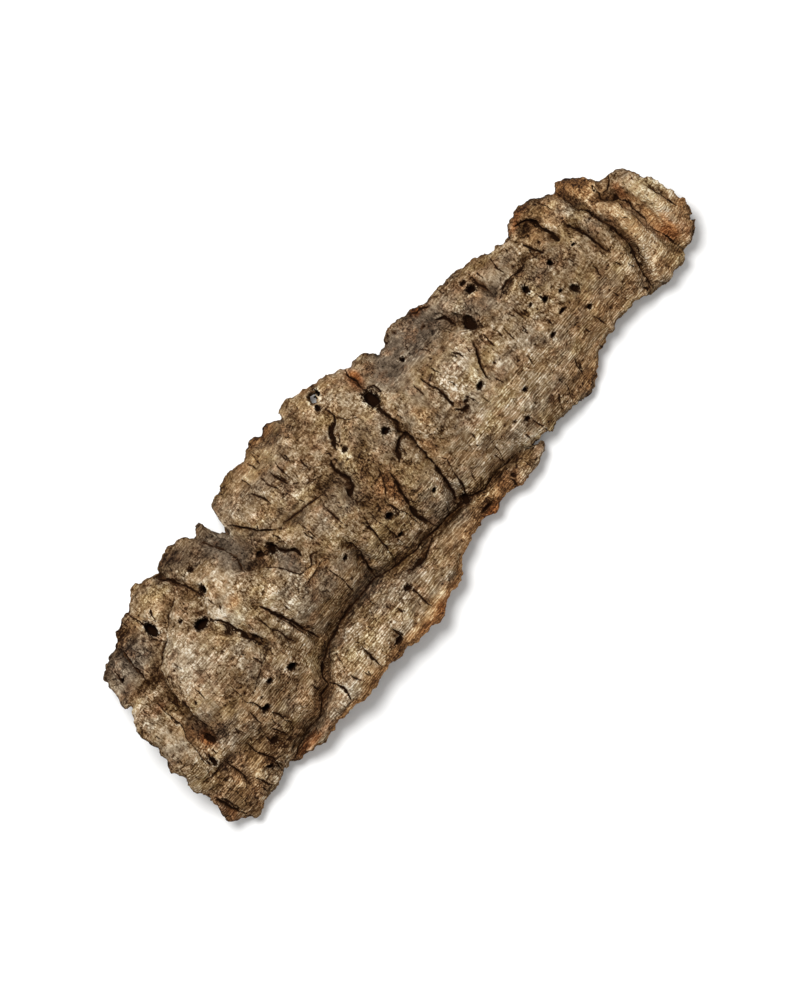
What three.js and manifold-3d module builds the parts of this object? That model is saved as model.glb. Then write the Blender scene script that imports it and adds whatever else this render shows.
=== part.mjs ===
// Cork bark slab: an arched sheet of cork, bark side up, lying on three low spots of its rim.
// Millimetres. +X runs along the grain, +Y towards the far long edge, +Z up from the floor.
import * as THREE from 'three';
import Module from 'manifold-3d';

const solids = await Module();
solids.setup();
const { Manifold, Mesh } = solids;

// Driving dimensions
const leftCorner = -190;
const rightCorner = 193;
const endZone = 45;
const barkThickness = 12;
const flapThickness = 9;
const rimInset = 1.5;
const flapBevel = 3.5;
const underInset = 2.5;
const leastThickness = 2.5;
const footRadius = 10.5;
const footSlope = 1.2;

// How the arch falls away from its crown on either side, the stretches that even its edges out,
// and the widths over which the flap rises from the fissure and thins
const farCurve = 1.7;
const nearCurve = 1.9;
const farStretch = 20;
const nearStretch = 12;
const footStretch = 10;
const flapRiseWidth = 16;
const flapThinWidth = 6;

// Lumps of the bark, the underside and the rim: length along and across, rise, seed
const barkLumps = [
  { along: 15, across: 11, rise: 1.0, seed: 1 },
  { along: 6, across: 8, rise: 0.6, seed: 2 },
];
const undersideLumps = { along: 26, across: 14, rise: 0.7, seed: 5 };
const rimLumps = { along: 7, across: 7, rise: 0.15, seed: 6 };
const rimLevel = 0.45;

// Ragged outline: lumps across an end, length of a lump along the sides, and how far it moves the outline
const endLumps = 17;
const sideLump = 4;
const edgeRoughness = 0.8;
const endSeed = 3;
const sideSeed = 4;
const farLane = 9;

// Facets: columns are closer at the notch and at the folded right end, [share of the columns, along],
// and every third point of the rim carries on into the underside
const columns = 132;
const columnSpread = [[0, leftCorner], [0.24, -96], [0.31, -78], [0.78, 122], [1, rightCorner]];
const rows = 33;
const flapRows = 8;
const coarser = 3;
const drawReach = 1.6;
const drawShare = 0.85;
const leastFlapRows = 9;
const notchStart = 0.6;

// Outline seen from above, [along, across], from the left end to the right end
const farEdge = [
  [-190, 46], [-180, 51], [-168, 53.5], [-164, 57.5], [-156, 61.5], [-150.5, 59.5], [-141, 66.5],
  [-133, 64.5], [-124.5, 61.5], [-117, 66.5], [-106, 65.5], [-99, 58], [-95, 61.5], [-92, 64],
  [-91, 56], [-88.5, 50], [-83, 48.5], [-80.5, 63.5], [-75, 63.5], [-68, 66.5], [-48, 66],
  [-41, 69.3], [-32, 69], [-26, 67], [-23, 63], [-19.5, 68.5], [-12, 68.5], [-3, 65.5], [1, 62],
  [17, 59.5], [21, 53.5], [27, 55.5], [32, 51.5], [33.5, 45.5], [40, 46], [46, 50], [60, 51],
  [69, 48.5], [72.5, 43], [80, 46], [98, 42.5], [113, 38], [121, 33], [128, 33.5], [131.5, 40.5],
  [144, 39], [160, 31], [165, 33.5], [170, 32], [175, 23.5], [178, 17], [186, 12.5], [198, 10],
];
const nearEdge = [
  [-200, -53], [-195, -56.5], [-190, -60.5], [-172, -58.5], [-160, -54], [-150, -58.5], [-136, -62.5],
  [-129, -61], [-101, -66], [-83, -63], [-68, -66.5], [-48, -69], [-38, -65], [-29, -63],
  [-12, -55], [-3, -52], [4, -52], [12, -55], [20, -52], [36, -56.5], [50, -53.5], [54, -51.5],
  [58, -49.5], [66, -48.5], [78, -49], [96, -51.5], [104, -46.5], [113, -41.5], [122, -39],
  [134, -37.5], [152, -42], [164, -45], [177, -43], [179, -40], [187, -41.5], [198, -37],
];
// Broken ends, [share of the way from the near edge to the far edge, along]
const leftEnd = [
  [0, -190], [0.05, -196], [0.1, -200], [0.17, -200], [0.25, -199.5], [0.31, -196.5],
  [0.47, -197], [0.58, -195.5], [0.63, -193.5], [0.78, -191], [0.81, -185.5], [0.86, -189.5], [1, -187],
];
const rightEnd = [
  [0, 193], [0.06, 196], [0.12, 194.5], [0.2, 194.5], [0.25, 198], [0.32, 200], [0.45, 200],
  [0.58, 199.5], [0.7, 197], [0.85, 194.5], [1, 192],
];

// Where the cork is broken right through, outlines seen from above, [along, across]: a worm hole behind the
// far rim, and the gap between the tip of the flap and the body
const breaks = [
  [[-5.6, 56.4], [-3.8, 54.8], [-1.2, 55.6], [-0.2, 58.6], [-1.9, 61], [-4.6, 60.6]],
  [[49, -45.2], [57.3, -48.7], [57.8, -56], [64.6, -56], [64.2, -48.6], [62.4, -45.8], [56, -45.4]],
];

// Long fissure that parts the near flap from the body, [along, across]; past the near edge there is no flap
const fissure = [
  [-200, -70], [-165, -62], [-152, -56.5], [-140, -53], [-125, -51.5], [-119, -47.5], [-111, -45],
  [-106, -36], [-95, -31], [-75, -28], [-55, -27], [-46, -31], [-30, -34], [-10, -36.5], [10, -38],
  [18, -41.5], [30, -40.5], [42, -43], [57, -48], [66, -58], [200, -58],
];
// Arch, as heights of the bark along the slab: [along, height]
const crownAcross = [[-200, 2], [-110, 10], [0, 10], [100, 0], [160, -3], [200, -12]];
const crownHeight = [[-200, 33], [-140, 36], [-50, 36], [50, 34], [120, 31], [165, 29], [200, 25]];
const farHeight = [[-200, 20], [-140, 17.5], [-95, 16.5], [-35, 14], [10, 15], [100, 16], [200, 20]];
const bodyFoot = [
  [-200, 10.5], [-176, 11], [-160, 15], [-125, 14], [-75, 16.5], [-40, 16], [0, 15], [40, 14.5],
  [70, 12.5], [95, 10.5], [108, 12], [130, 16], [165, 15], [200, 17],
];
const flapHeight = [[-155, 15], [-140, 20], [-110, 25], [-80, 25], [-50, 23], [-20, 20], [30, 16], [60, 14]];

// Spots of the underside that reach the floor, [along, across]
const supports = [[-182, -52], [92, -44], [-37, 62]];

// Swells and dips of the bark: line of the middle, reach to either side, rise
const swells = [
  { line: [[-190, -24], [-189, 0], [-185, 22]], reach: 11, rise: 4 },
  { line: [[-180, 39], [-172, 45]], reach: 11, rise: 2.5 },
  { line: [[-188, -46], [-172, -44]], reach: 14, rise: 1.5 },
  { line: [[-147, 10], [-143, -14]], reach: 26, rise: 4 },
  { line: [[-135, 52], [-142, 56]], reach: 13, rise: 2 },
  { line: [[-112, 22], [-108, 40]], reach: 13, rise: 2 },
  { line: [[-85, 2], [-82, -14]], reach: 17, rise: 2 },
  { line: [[-70, 50], [-30, 46]], reach: 19, rise: 3 },
  { line: [[-2, 24], [-4, 10]], reach: 13, rise: 2 },
  { line: [[-8, 56], [10, 47]], reach: 11, rise: 2 },
  { line: [[36, 4], [58, 0]], reach: 24, rise: 2 },
  { line: [[80, 33], [120, 27]], reach: 11, rise: 2 },
  { line: [[132, 34], [139, 35], [152, 30]], reach: 6, rise: 4.5 },
  { line: [[155, 26], [158, 8], [159, -10], [155, -26]], reach: 6, rise: 2.5 },
  { line: [[168, 25], [170, 0], [171, -22], [165, -39]], reach: 8, rise: 3.5 },
  { line: [[187, 4], [189, -12], [187, -34]], reach: 8, rise: 4 },
  { line: [[-100, -48], [-60, -46]], reach: 15, rise: 2 },
  { line: [[-92, 52], [-88, 36], [-84, 20]], reach: 10, rise: -4 },
  { line: [[30, 37], [68, 36]], reach: 10, rise: -3 },
  { line: [[-178, 20], [-176, -18]], reach: 7, rise: -2.5 },
  { line: [[-60, 24], [-40, 21]], reach: 6, rise: -2.5 },
  { line: [[122, 24], [130, 20]], reach: 8, rise: -2 },
];
// Cracks across the grain and deep pockets: line, reach to either side, depth
const cracks = [
  { line: [[-170, 46], [-170, 34]], reach: 3, depth: 3 },
  { line: [[-133, 46], [-152, 35], [-163, 29], [-168, 8], [-169, -8], [-172, -16]], reach: 4, depth: 4.5 },
  { line: [[-177, -26], [-176, -45]], reach: 3, depth: 2.5 },
  { line: [[-159, -36], [-159, -49]], reach: 3, depth: 2.5 },
  { line: [[-153, -41], [-149, -42]], reach: 5, depth: 5 },
  { line: [[-149, 47], [-149, 43]], reach: 4, depth: 5 },
  { line: [[-126, 58], [-122, 48], [-122, 34], [-131, 26]], reach: 4.5, depth: 4 },
  { line: [[-131, 26], [-124, 14], [-118, 0], [-117, -8]], reach: 4, depth: 3.5 },
  { line: [[-104, 10], [-100, -3], [-98, -12], [-97, -25]], reach: 3.5, depth: 4 },
  { line: [[-110, 3], [-108, -5], [-106, -18]], reach: 3, depth: 2.5 },
  { line: [[-94, 27], [-88, 22], [-77, 25], [-71, 16], [-69, 8]], reach: 4, depth: 4.5 },
  { line: [[-81, 48], [-76, 38], [-68, 29]], reach: 3.5, depth: 3.5 },
  { line: [[-49, -7], [-50, -18], [-55, -27]], reach: 3.5, depth: 4 },
  { line: [[-34, -5], [-36, -18], [-39, -29]], reach: 3, depth: 3 },
  { line: [[-22, 29], [-24, 18], [-29, 8], [-30, 0]], reach: 4, depth: 5 },
  { line: [[-11, -4], [-13, -15], [-15, -29]], reach: 3.5, depth: 4 },
  { line: [[-3, 45], [-6, 41], [-12, 37], [-15, 32]], reach: 3.5, depth: 4 },
  { line: [[18, 52], [17, 40], [16, 28], [14, 12], [13, -4], [10, -20], [5, -34]], reach: 4.5, depth: 6 },
  { line: [[14, 9], [2, 3]], reach: 3, depth: 3 },
  { line: [[41, 18], [41, 0], [44, -7]], reach: 3.5, depth: 3.5 },
  { line: [[73, 10], [66, -3], [67, -12]], reach: 3.5, depth: 3.5 },
  { line: [[70, 34], [75, 27], [79, 19]], reach: 5, depth: 5 },
  { line: [[98, 33], [100, 19], [125, 19], [131, 17]], reach: 3.5, depth: 3 },
  { line: [[132, 29], [141, 28], [141, 14]], reach: 4, depth: 5.5 },
  { line: [[151, 12], [154, 2], [154, -9]], reach: 3.5, depth: 3.5 },
  { line: [[162, 28], [162, 14], [165, -5], [163, -22], [154, -40]], reach: 4, depth: 5 },
  { line: [[169, 11], [180, 2], [180, -14], [179, -28], [178, -38]], reach: 4, depth: 5 },
  { line: [[194, -8], [195, -22]], reach: 3, depth: 2 },
  { line: [[-40, -38], [-26, -38]], reach: 4.5, depth: 4 },
  { line: [[-110, -46], [-110, -60]], reach: 3, depth: 2.5 },
  { line: [[-86, -42], [-87, -60]], reach: 3, depth: 2.5 },
  { line: [[-72, -57], [-68, -58]], reach: 4, depth: 3.5 },
  { line: [[6, -48], [15, -49]], reach: 4, depth: 3.5 },
];
const fissureReach = 4;
const fissureDepth = 5;
const fissureEnds = [-155, 60];
const slantedRim = { left: -140, leftBlend: 15, right: 45, rightBlend: 25 };
const cutterHeight = 60;
const cutterDrop = 1;

const corkColor = 0x8a7151;
const corkRoughness = 0.92;

function clamp01(value) {
  return Math.min(1, Math.max(0, value));
}

function mix(from, to, share) {
  return from + (to - from) * share;
}

// Value of a row of [position, value] points at a position, straight between the points
function valueAt(points, position) {
  const next = points.findIndex((point) => point[0] > position);
  if (next === 0) return points[0][1];
  if (next < 0) return points[points.length - 1][1];
  const [p0, v0] = points[next - 1];
  const [p1, v1] = points[next];
  return mix(v0, v1, (position - p0) / (p1 - p0));
}

// The same, evened out over a stretch to either side
function evenedAt(points, position, stretch) {
  const offsets = [-1, -0.5, 0, 0.5, 1];
  const total = offsets.reduce((sum, o) => sum + valueAt(points, position + o * stretch), 0);
  return total / offsets.length;
}

// Seeded lattice noise between -1 and 1
function latticeValue(ix, iy, seed) {
  let h = Math.imul(ix, 374761393) ^ Math.imul(iy, 668265263) ^ Math.imul(seed, 974634777);
  h = Math.imul(h ^ (h >>> 13), 1274126177);
  return ((h ^ (h >>> 16)) >>> 0) / 2147483647.5 - 1;
}

function noiseAt(x, y, seed) {
  const ix = Math.floor(x);
  const iy = Math.floor(y);
  const fx = THREE.MathUtils.smoothstep(x - ix, 0, 1);
  const fy = THREE.MathUtils.smoothstep(y - iy, 0, 1);
  const low = mix(latticeValue(ix, iy, seed), latticeValue(ix + 1, iy, seed), fx);
  const high = mix(latticeValue(ix, iy + 1, seed), latticeValue(ix + 1, iy + 1, seed), fx);
  return mix(low, high, fy);
}

function lumpsAt({ along, across, rise, seed }, x, y) {
  return rise * noiseAt(x / along, y / across, seed);
}

function nearestOnLine(line, x, y) {
  let nearest = { distance: Infinity };
  for (let k = 1; k < line.length; k += 1) {
    const [ax, ay] = line[k - 1];
    const [bx, by] = line[k];
    const along = ((x - ax) * (bx - ax) + (y - ay) * (by - ay)) / ((bx - ax) ** 2 + (by - ay) ** 2);
    const px = mix(ax, bx, clamp01(along));
    const py = mix(ay, by, clamp01(along));
    const distance = Math.hypot(x - px, y - py);
    if (distance < nearest.distance) nearest = { px, py, distance };
  }
  return nearest;
}

// 1 on the line, falling smoothly to 0 at the reach
function strokeAt(stroke, x, y) {
  const share = nearestOnLine(stroke.line, x, y).distance / stroke.reach;
  return share < 1 ? (1 - share * share) ** 2 : 0;
}

// A point beside a crack moves onto its line, so that the crack has a clean floor
function drawnToCrack(x, y) {
  let nearest = { px: x, py: y, distance: drawReach };
  for (const crack of cracks) {
    const found = nearestOnLine(crack.line, x, y);
    if (found.distance < nearest.distance) nearest = found;
  }
  return [mix(x, nearest.px, drawShare), mix(y, nearest.py, drawShare)];
}

// Arch of the whole slab: far half, steeper near half, and the flap that flares out past the fissure
function archHeight(x, y) {
  const crown = valueAt(crownHeight, x);
  const top = valueAt(crownAcross, x);
  const foot = valueAt(fissure, x);
  if (y > top) {
    const share = (y - top) / (evenedAt(farEdge, x, farStretch) - top);
    return crown - (crown - evenedAt(farHeight, x, farStretch)) * share ** farCurve;
  }
  const bodyEnd = Math.max(foot, evenedAt(nearEdge, x, nearStretch));
  const footHeight = evenedAt(bodyFoot, x, footStretch);
  const share = clamp01((top - y) / (top - bodyEnd));
  const body = crown - (crown - footHeight) * share ** nearCurve;
  if (y > foot) return body;
  const flapShare = clamp01((foot - y) / flapRiseWidth);
  return mix(footHeight, valueAt(flapHeight, x), Math.sqrt(flapShare));
}

function onFlap(x, y) {
  return clamp01((valueAt(fissure, x) - y) / flapThinWidth);
}

function undersideHeight(x, y) {
  const thickness = mix(barkThickness, flapThickness, onFlap(x, y));
  let height = archHeight(x, y) - thickness + lumpsAt(undersideLumps, x, y);
  for (const [sx, sy] of supports) {
    height = Math.min(height, footSlope * (Math.hypot(x - sx, y - sy) - footRadius));
  }
  return Math.max(0, height);
}

function barkHeight(x, y) {
  let height = archHeight(x, y);
  for (const swell of swells) height += swell.rise * strokeAt(swell, x, y);
  for (const crack of cracks) height -= crack.depth * strokeAt(crack, x, y);
  if (x > fissureEnds[0] && x < fissureEnds[1]) {
    height -= fissureDepth * strokeAt({ line: fissure, reach: fissureReach }, x, y);
  }
  for (const lumps of barkLumps) height += lumpsAt(lumps, x, y);
  return Math.max(height, undersideHeight(x, y) + leastThickness);
}

// Point of the plan for a column and a row, with the rim drawn in by the insets
function planAt(column, row, nearInset, otherInset) {
  const across = row / rows;
  const straight = valueAt(columnSpread, column / columns);
  const leftShare = clamp01(1 - (straight - leftCorner) / endZone);
  const rightShare = clamp01(1 - (rightCorner - straight) / endZone);
  const ragged = edgeRoughness * noiseAt(across * endLumps, 0, endSeed);
  const x = straight
    + leftShare * (valueAt(leftEnd, across) - leftCorner + otherInset + ragged)
    + rightShare * (valueAt(rightEnd, across) - rightCorner - otherInset + ragged);
  const near = valueAt(nearEdge, x) + nearInset + edgeRoughness * noiseAt(x / sideLump, 0, sideSeed);
  const far = valueAt(farEdge, x) - otherInset + edgeRoughness * noiseAt(x / sideLump, farLane, sideSeed);
  const guide = Math.max(valueAt(fissure, x), evenedAt(nearEdge, x, nearStretch) + leastFlapRows);
  if (row <= flapRows) return [x, mix(near, guide, row / flapRows)];
  const share = (row - flapRows) / (rows - flapRows);
  const evened = evenedAt(farEdge, x, farStretch);
  return [x, mix(guide, evened, share) + (far - evened) * clamp01((share - notchStart) / (1 - notchStart))];
}

// The flap's rim is broken at a slant, the rest nearly square
function nearInsetAt(column) {
  const x = valueAt(columnSpread, column / columns);
  const fromLeft = clamp01((x - slantedRim.left) / slantedRim.leftBlend);
  const fromRight = clamp01((slantedRim.right - x) / slantedRim.rightBlend);
  return mix(rimInset, flapBevel, fromLeft * fromRight);
}

function barkPoint(column, row) {
  const onPlan = planAt(column, row, nearInsetAt(column), rimInset);
  const onBorder = column % columns === 0 || row % rows === 0;
  const [x, y] = onBorder ? onPlan : drawnToCrack(...onPlan);
  return [x, y, barkHeight(x, y)];
}

function rimPoint(column, row) {
  const [x, y] = planAt(column, row, 0, 0);
  const under = undersideHeight(x, y);
  return [x, y, mix(under, barkHeight(x, y), rimLevel + lumpsAt(rimLumps, x, y))];
}

function undersidePoint(column, row) {
  const [x, y] = planAt(column * coarser, row * coarser, underInset, underInset);
  return [x, y, undersideHeight(x, y)];
}

// Column and row of every point round the border of a grid, anticlockwise from above
function borderOf(columnCount, rowCount) {
  const border = [];
  for (let i = 0; i < columnCount; i += 1) border.push([i, 0]);
  for (let j = 0; j < rowCount; j += 1) border.push([columnCount, j]);
  for (let i = columnCount; i > 0; i -= 1) border.push([i, rowCount]);
  for (let j = rowCount; j > 0; j -= 1) border.push([0, j]);
  return border;
}

function buildSlab() {
  const points = [];
  const faces = [];

  // Each cell is split along its more level diagonal, so that cracks keep clean edges
  function addGrid(columnCount, rowCount, pointAt, facesUp) {
    const first = points.length;
    const indexAt = (i, j) => first + j * (columnCount + 1) + i;
    for (let j = 0; j <= rowCount; j += 1) {
      for (let i = 0; i <= columnCount; i += 1) points.push(pointAt(i, j));
    }
    for (let j = 0; j < rowCount; j += 1) {
      for (let i = 0; i < columnCount; i += 1) {
        const a = indexAt(i, j);
        const b = indexAt(i + 1, j);
        const c = indexAt(i + 1, j + 1);
        const d = indexAt(i, j + 1);
        const levelHere = Math.abs(points[a][2] - points[c][2]) < Math.abs(points[b][2] - points[d][2]);
        const split = levelHere ? [[a, b, c], [a, c, d]] : [[a, b, d], [b, c, d]];
        faces.push(...(facesUp ? split : split.map((face) => face.toReversed())));
      }
    }
    return borderOf(columnCount, rowCount).map(([i, j]) => indexAt(i, j));
  }

  const bark = addGrid(columns, rows, barkPoint, true);
  const under = addGrid(columns / coarser, rows / coarser, undersidePoint, false);
  const rim = borderOf(columns, rows).map(([i, j]) => points.push(rimPoint(i, j)) - 1);

  rim.forEach((here, k) => {
    const next = (k + 1) % rim.length;
    faces.push([bark[k], here, rim[next]], [bark[k], rim[next], bark[next]]);
    const foot = under[Math.floor(k / coarser)];
    const nextFoot = under[(Math.floor(k / coarser) + 1) % under.length];
    if (k % coarser < coarser - 1) faces.push([here, foot, rim[next]]);
    else faces.push([here, foot, nextFoot], [here, nextFoot, rim[next]]);
  });

  const vertProperties = Float32Array.from(points.flat());
  const triVerts = Uint32Array.from(faces.flat());
  return new Manifold(new Mesh({ numProp: 3, vertProperties, triVerts }));
}

function brokenThrough(solid) {
  const drop = [0, 0, -cutterDrop];
  const cutters = breaks.map((outline) => Manifold.extrude([outline], cutterHeight).translate(drop));
  return solid.subtract(Manifold.union(cutters));
}

function toGeometry(solid) {
  const { vertProperties, triVerts } = solid.getMesh();
  const geometry = new THREE.BufferGeometry();
  geometry.setAttribute('position', new THREE.BufferAttribute(vertProperties, 3));
  geometry.setIndex(new THREE.BufferAttribute(triVerts, 1));
  return geometry;
}

// Origin on the floor, under the middle of the slab's box
const slabGeometry = toGeometry(brokenThrough(buildSlab()));
slabGeometry.computeBoundingBox();
const middle = slabGeometry.boundingBox.getCenter(new THREE.Vector3());
slabGeometry.translate(-middle.x, -middle.y, -slabGeometry.boundingBox.min.z);
slabGeometry.computeVertexNormals();

const cork = new THREE.MeshStandardMaterial({ color: corkColor, roughness: corkRoughness, metalness: 0 });
const slab = new THREE.Mesh(slabGeometry, cork);
slab.name = 'cork_slab';

const group = new THREE.Group();
group.name = 'cork_bark_slab';
group.add(slab);

export default group;
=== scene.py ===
import math

import bmesh
import bpy
import numpy as np
from mathutils import Matrix, Vector
from mathutils.bvhtree import BVHTree
from mathutils.kdtree import KDTree


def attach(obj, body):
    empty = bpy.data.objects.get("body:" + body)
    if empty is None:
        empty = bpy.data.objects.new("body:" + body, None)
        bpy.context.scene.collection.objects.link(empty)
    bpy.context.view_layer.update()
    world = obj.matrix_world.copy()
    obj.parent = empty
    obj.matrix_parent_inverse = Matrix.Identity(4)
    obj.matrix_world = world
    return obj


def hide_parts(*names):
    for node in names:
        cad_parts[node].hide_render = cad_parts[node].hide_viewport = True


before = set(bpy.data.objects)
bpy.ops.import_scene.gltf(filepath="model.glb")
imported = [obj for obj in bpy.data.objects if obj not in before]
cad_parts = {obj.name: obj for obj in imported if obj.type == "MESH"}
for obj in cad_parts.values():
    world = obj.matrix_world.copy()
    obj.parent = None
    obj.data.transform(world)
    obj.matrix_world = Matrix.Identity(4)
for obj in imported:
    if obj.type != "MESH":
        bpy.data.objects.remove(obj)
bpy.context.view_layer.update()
print("frame loaded")

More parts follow.
